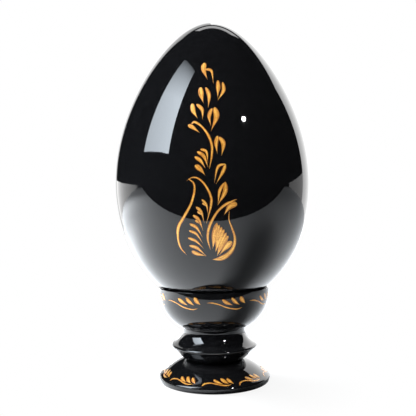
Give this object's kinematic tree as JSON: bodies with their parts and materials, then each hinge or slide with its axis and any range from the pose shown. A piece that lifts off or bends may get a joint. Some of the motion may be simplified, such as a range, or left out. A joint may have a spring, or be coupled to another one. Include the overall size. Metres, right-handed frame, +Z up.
{
  "type": "lacquered egg on a turned stand",
  "caption": "Black lacquered wooden egg with gold brush-painted leaf sprays, resting in the round cup of a low turned stand with a knop and a spreading foot.",
  "frame": {"origin": "middle of the foot's flat underside, on the table", "axes": "+Z up along the axis of the egg and the stand; the main painted spray faces -Y"},
  "size_m": [0.1024, 0.1024, 0.1883],
  "materials": {
    "egg_lacquer": "polished",
    "stand_lacquer": "polished",
    "gold_paint": "satin"
  },
  "bodies": {
    "stand": {"stand_foot": "stand_lacquer", "stand_stem": "stand_lacquer", "stand_cup": "stand_lacquer"},
    "egg": {"egg": "egg_lacquer"}
  },
  "joints": [
    {"name": "egg_lift", "type": "slide", "parent": "stand", "child": "egg", "axis": [0, 0, 1], "range_m": [0, 0.025]}
  ]
}
